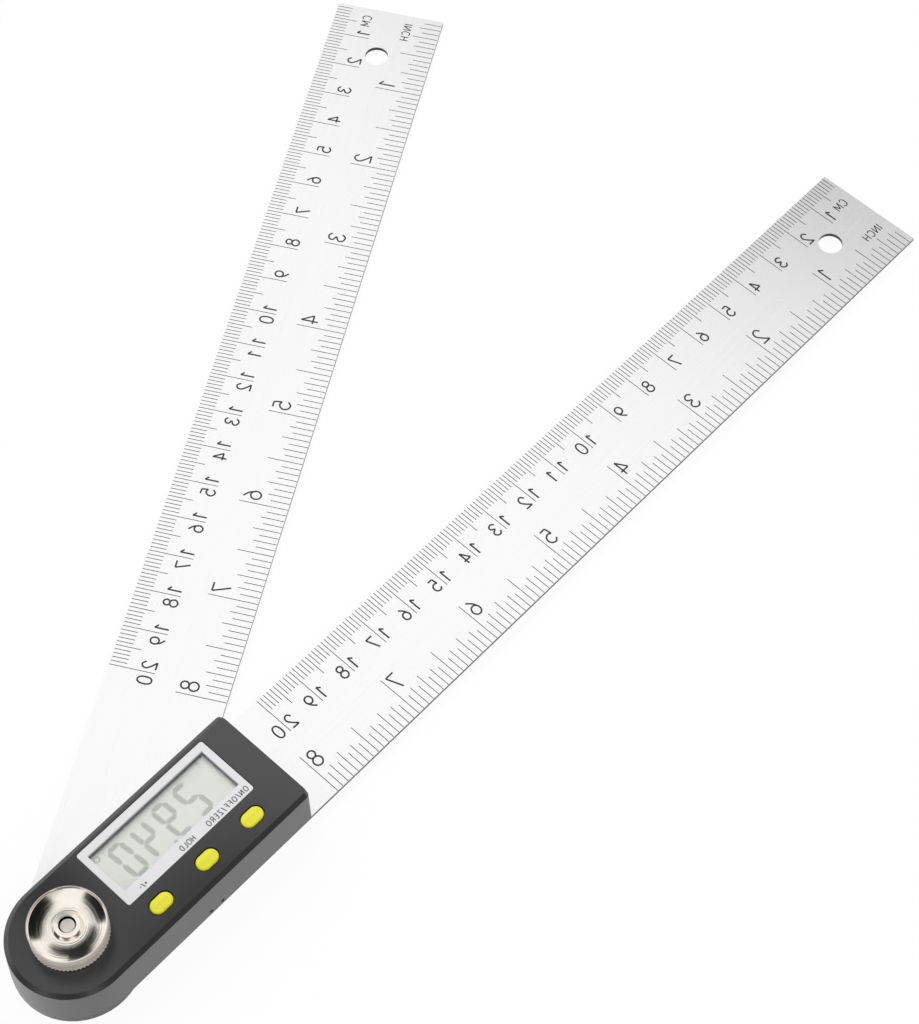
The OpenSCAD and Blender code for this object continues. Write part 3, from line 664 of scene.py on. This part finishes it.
# Heights above the foot of the key's stem.
CAP_FOOT, FLANGE_FOOT, FLANGE_TOP, STEM_TOP = 1.8, 1.4, 2.0, 1.6
yellow = moulded("yellow_abs", "#ece640", "#e7e138", 0.35, 0.4)
for name, x in zip(("power", "hold", "reverse"), KEY_XS):
    low, high = extent(name + "_button")
    cap = slab(x - KEY_L / 2, x + KEY_L / 2, KEY_Y - KEY_W / 2, KEY_Y + KEY_W / 2,
               low[2] + CAP_FOOT, high[2], KEY_W / 2 - SLIT, KEY_SEGMENTS)
    rim = [e for e in cap.edges if all(v.co.z > high[2] - 0.01 for v in e.verts)]
    bmesh.ops.bevel(cap, geom=rim, offset=CROWN, affect="EDGES", segments=5, profile=0.5, material=-1)
    flange = slab(x - FLANGE_L / 2, x + FLANGE_L / 2, KEY_Y - FLANGE_W / 2, KEY_Y + FLANGE_W / 2,
                  low[2] + FLANGE_FOOT, low[2] + FLANGE_TOP, FLANGE_W / 2 - SLIT, KEY_SEGMENTS)
    stem = drum(x, KEY_Y, STEM_R, low[2], low[2] + STEM_TOP, 32)
    key = carve(cap, [flange, stem], "UNION")
    key_piece = piece(name + "_key_cap", key, yellow, name + "_key")
    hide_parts(name + "_button")

# ---------------------------------------------------------------------------------------------
# Lock knob. Turned from brass bar, knurled, dished on top and plated with bright nickel. It is
# threaded on the bolt and clamps the blades when it is screwed down.

KNURLS, STEPS_PER_KNURL = 60, 4
KNURL_DEPTH, KNURL_ROWS = 0.36, 18
DISH_R, EYE_FOOT_R, EYE_R = 7.85, 3.2, 2.8
DISH_DEPTH, LIP_STEP, EYE_DROP = 1.2, 0.35, 0.1
DISH_POINTS = 12
THREAD_R, EYE_BORE_R, EYE_BORE_DEEP = 1.55, 1.8, 0.65
SHADED_BORE_R = 1.83  # within this the bore is painted dark, as painted shade in the hole
COLLAR_R, COLLAR_H = 5.4, 0.16
FOOT_CHAMFER = 0.5


def turned(outline, steps):
    """A closed outline of (radius, height) points spun round the pivot axis."""
    bm = bmesh.new()
    ring = [bm.verts.new((r, 0, z)) for r, z in outline]
    edges = [bm.edges.new(pair) for pair in zip(ring, ring[1:] + ring[:1])]
    bmesh.ops.spin(bm, geom=ring + edges, cent=(0, 0, 0), axis=(0, 0, 1), angle=2 * math.pi,
                   steps=steps, use_merge=True)
    bmesh.ops.remove_doubles(bm, verts=bm.verts, dist=0.0005)
    bmesh.ops.recalc_face_normals(bm, faces=bm.faces)
    return bm


def plated_nickel(name, rim):
    # Bright nickel plate on turned brass: a warm mirror, blurred by the tool's rings, and dull
    # where the knurl broke up the surface. Inside the bore it is painted dark, as painted shade.
    made, tree, shader, place = start(name, Metallic=1.0)
    apart = add(tree, "SeparateXYZ", {"Vector": place})
    flat = add(tree, "CombineXYZ", {"X": apart.outputs[0], "Y": apart.outputs[1]})
    radius = add(tree, "VectorMath", {0: flat.outputs[0]}, operation="LENGTH")
    rings = add(tree, "TexNoise", {"W": radius.outputs["Value"], "Scale": 1 / (0.25 * MM),
                                   "Detail": 3.0}, noise_dimensions="1D")
    stain = add(tree, "TexNoise", {"Vector": place, "Scale": 1 / (1.5 * MM), "Detail": 4.0})
    plate = add(tree, "Mix", {0: stain.outputs[0], 6: colour("#fffaf2"), 7: colour("#f3eadf")},
                data_type="RGBA")
    # Painted shade: within the bore the plate is painted dark brown.
    bore = add(tree, "Math", {0: radius.outputs["Value"], 1: SHADED_BORE_R * MM}, operation="LESS_THAN")
    knurl = add(tree, "MapRange", {"Value": radius.outputs["Value"], "From Min": (rim - 0.4) * MM,
                                   "From Max": (rim - 0.15) * MM})
    band = add(tree, "Mix", {0: knurl.outputs[0], 6: plate.outputs[2], 7: colour("#cfc6bc")},
               data_type="RGBA")
    metal = add(tree, "Mix", {0: bore.outputs[0], 6: band.outputs[2], 7: colour("#2e2823")},
                data_type="RGBA")
    tree.links.new(metal.outputs[2], shader.inputs["Base Color"])
    polish = add(tree, "MapRange", {"Value": rings.outputs[0], "To Min": 0.07, "To Max": 0.16})
    rough = add(tree, "Mix", {0: knurl.outputs[0], 2: polish.outputs[0], 3: 0.5})
    tree.links.new(rough.outputs[0], shader.inputs["Roughness"])
    vary(tree, knurl.outputs[0], 1.0, 0.45, shader.inputs["Metallic"])
    bump = add(tree, "Bump", {"Height": rings.outputs[0], "Strength": 0.5, "Distance": 0.03 * MM})
    tree.links.new(bump.outputs[0], shader.inputs["Normal"])
    return made


low, high = extent("lock_knob")
knob_r, knob_top, collar_z = high[0], high[2], low[2]
knob_z = collar_z + COLLAR_H
outline = [(THREAD_R, collar_z), (COLLAR_R, collar_z), (COLLAR_R, knob_z),
           (knob_r - FOOT_CHAMFER, knob_z)]
band_low, band_high = knob_z + FOOT_CHAMFER, knob_top - 0.2
for row in range(KNURL_ROWS + 1):
    outline.append((knob_r, band_low + (band_high - band_low) * row / KNURL_ROWS))
# The rim, rounded off on both sides, then the dish, then the flat eye round the bore.
outline += [(knob_r - 0.06, knob_top - 0.07), (knob_r - 0.16, knob_top), (DISH_R + 0.18, knob_top),
            (DISH_R + 0.08, knob_top - 0.06)]
for i in range(DISH_POINTS + 1):
    share = 1 - i / DISH_POINTS
    outline.append((EYE_FOOT_R + (DISH_R - EYE_FOOT_R) * share,
                    knob_top - DISH_DEPTH + (DISH_DEPTH - LIP_STEP) * share ** 2))
outline += [(EYE_R, knob_top - EYE_DROP - 0.1), (EYE_R - 0.1, knob_top - EYE_DROP),
            (EYE_BORE_R + 0.05, knob_top - EYE_DROP), (EYE_BORE_R, knob_top - EYE_DROP - 0.05),
            (EYE_BORE_R, knob_top - EYE_DROP - EYE_BORE_DEEP),
            (THREAD_R, knob_top - EYE_DROP - EYE_BORE_DEEP)]
knob = turned(outline, KNURLS * STEPS_PER_KNURL)


def ridge(turns):
    """How high a knurl stands there, from 0 in the groove to 1 halfway between two."""
    return 2 * abs((turns + 0.5) % 1 - 0.5)


cell = 2 * math.pi * knob_r / KNURLS
for vert in knob.verts:
    around = math.hypot(vert.co.x, vert.co.y)
    if around > knob_r - 0.01 and band_low - 0.01 < vert.co.z < band_high + 0.01:
        turns = math.atan2(vert.co.y, vert.co.x) / (2 * math.pi) * KNURLS
        rise = (vert.co.z - band_low) / cell
        height = min(ridge(turns + rise), ridge(turns - rise))
        share = 1 - KNURL_DEPTH * (1 - height) / around
        vert.co.x *= share
        vert.co.y *= share
nickel = plated_nickel("bright_nickel_plate", knob_r)
knob_piece = piece("knurled_knob", knob, nickel, "knob", 25)
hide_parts("lock_knob")

# ---------------------------------------------------------------------------------------------
# Washer and clamp ring. Two rings turned from steel. The washer is captive under the knob and
# lifts with it. The ring is let into the cover's top, and the washer bears on it.

dress(turned_metal("washer_steel", "#c4c2be", "#adaba7", 0.28), "knob_washer", "clamp_ring")

# ---------------------------------------------------------------------------------------------
# Camera, lamps and floor. The camera stands where the photograph was taken. The floor is white,
# keeps a faint shadow and can be looked through from below.

CAMERA_AT = Vector((-0.08768, -0.18103, 0.49395))
view = bpy.data.cameras.new("camera")
view.lens = 87.85
view.sensor_width = 36.0
camera = bpy.data.objects.new("camera", view)
camera.location = CAMERA_AT
camera.rotation_euler = [math.radians(a) for a in (30.886, -0.684, -47.262)]
bpy.context.collection.objects.link(camera)
bpy.context.scene.camera = camera
bpy.context.scene.view_settings.view_transform = "Standard"


def seen_directly(tree):
    """A socket that is 1 for rays from the camera and those that metal or glass sends on."""
    path = add(tree, "LightPath")
    eye = add(tree, "Math", {0: path.outputs["Is Camera Ray"], 1: path.outputs["Is Glossy Ray"]},
              operation="MAXIMUM")
    eye = add(tree, "Math", {0: eye.outputs[0], 1: path.outputs["Is Transmission Ray"]},
              operation="MAXIMUM")
    return eye.outputs[0]


WORLD_LIGHT = 0.8
world = bpy.data.worlds.new("studio")
bpy.context.scene.world = world
world.use_nodes = True
back = world.node_tree.nodes["Background"]
back.inputs["Color"].default_value = (1, 1, 1, 1)
vary(world.node_tree, seen_directly(world.node_tree), WORLD_LIGHT, 1.0, back.inputs["Strength"])

FLOOR_SIZE, FLOOR_GLOW, FLOOR_Z = 3.0, 0.92, -0.00002
floor_paint = bpy.data.materials.new("white_sweep")
floor_paint.use_nodes = True
tree = floor_paint.node_tree
tree.nodes.remove(tree.nodes["Principled BSDF"])
paint = add(tree, "BsdfDiffuse", {"Color": colour("#fafafa")})
glow = add(tree, "Emission", {"Color": (1, 1, 1, 1), "Strength": 1.0})
share = add(tree, "Math", {0: seen_directly(tree), 1: FLOOR_GLOW}, operation="MULTIPLY")
both = add(tree, "MixShader", {0: share.outputs[0], 1: paint.outputs[0], 2: glow.outputs[0]})
below = add(tree, "NewGeometry").outputs["Backfacing"]
sweep = add(tree, "MixShader", {0: below, 1: both.outputs[0],
                                2: add(tree, "BsdfTransparent").outputs[0]})
tree.links.new(sweep.outputs[0], tree.nodes["Material Output"].inputs["Surface"])
bm = bmesh.new()
bmesh.ops.create_grid(bm, x_segments=1, y_segments=1, size=FLOOR_SIZE / 2,
                      matrix=Matrix.Translation((0, 0, FLOOR_Z)))
mesh = bpy.data.meshes.new("floor")
bm.to_mesh(mesh)
bm.free()
mesh.materials.append(floor_paint)
floor = bpy.data.objects.new("floor", mesh)
bpy.context.collection.objects.link(floor)


PIVOT_TOP = Vector((0, 0, 0.018))


def mirrored(azimuth, tilt):
    """The way that a face on the pivot, tilted from level towards azimuth, mirrors to the camera."""
    turn, lean = math.radians(azimuth), math.radians(tilt)
    normal = Vector((math.sin(lean) * math.cos(turn), math.sin(lean) * math.sin(turn), math.cos(lean)))
    return (PIVOT_TOP - CAMERA_AT).normalized().reflect(normal)


def flag(name, middle, way, radius, level):
    """A round flag that faces back along way and shows only in reflections, as light as level."""
    bm = bmesh.new()
    aim = way.to_track_quat("Z", "Y").to_matrix().to_4x4()
    bmesh.ops.create_circle(bm, cap_ends=True, segments=32, radius=radius,
                            matrix=Matrix.Translation(middle) @ aim)
    cloth = bpy.data.materials.new(name + "_cloth")
    cloth.use_nodes = True
    tree = cloth.node_tree
    tree.nodes.remove(tree.nodes["Principled BSDF"])
    dark = add(tree, "Emission", {"Color": (1, 1, 1, 1), "Strength": level})
    tree.links.new(dark.outputs[0], tree.nodes["Material Output"].inputs["Surface"])
    mesh = bpy.data.meshes.new(name)
    bm.to_mesh(mesh)
    bm.free()
    mesh.materials.append(cloth)
    made = bpy.data.objects.new(name, mesh)
    made.visible_camera = False
    made.visible_diffuse = False
    made.visible_shadow = False
    made.visible_transmission = False
    bpy.context.collection.objects.link(made)


# The azimuth and tilt of the face that mirrors each flag, its half angle, its distance and how
# light it is. The first five make the knob's sectors. Four of them hang so close over the knob that
# no blade mirrors them to the camera. The last three make the dark bevel of the cover.
FLAG_NEAR, FLAG_FAR = 0.08, 2.0
FLAGS = ((299, 17, 23, FLAG_NEAR, 0.01), (168, 16.5, 17, FLAG_NEAR, 0.01),
         (72, 8, 13, FLAG_NEAR / 2, 0.02), (70, 17, 10, FLAG_FAR, 0.02), (245, 20, 9, FLAG_NEAR, 0.35),
         (-90, 34, 20, FLAG_FAR, 0.06), (-135, 34, 20, FLAG_FAR, 0.06), (180, 34, 18, FLAG_FAR, 0.06))
for i, (azimuth, tilt, half_angle, far, level) in enumerate(FLAGS):
    way = mirrored(azimuth, tilt)
    flag("flag_%d" % i, PIVOT_TOP + way * far, way,
         far * math.tan(math.radians(half_angle)), level)

# Grey flags that the ends of the blades mirror: where each blade ends, the way to its flag, the
# distance, the half angle and how light it is.
TIP_FLAGS = ((Vector((0.2665, 0, 0)), Vector((0.721, 0.367, 0.588)), 0.6, 19, 0.45),
             (Vector((0.2322, 0.1308, 0)), Vector((0.615, 0.546, 0.569)), 0.45, 10, 0.5))
for i, (tip, way, far, half_angle, level) in enumerate(TIP_FLAGS):
    flag("tip_flag_%d" % i, tip + way * far, way, far * math.tan(math.radians(half_angle)), level)

KEY_FROM, KEY_FAR, KEY_SIZE, KEY_POWER = Vector((0.3, 0.62, 0.75)).normalized(), 1.3, 0.9, 5.5
lamp = bpy.data.lights.new("key_lamp", "AREA")
lamp.size = KEY_SIZE
lamp.energy = KEY_POWER
key_lamp = bpy.data.objects.new("key_lamp", lamp)
key_lamp.location = KEY_FROM * KEY_FAR
key_lamp.rotation_euler = KEY_FROM.to_track_quat("Z", "Y").to_euler()
key_lamp.visible_glossy = False
bpy.context.collection.objects.link(key_lamp)
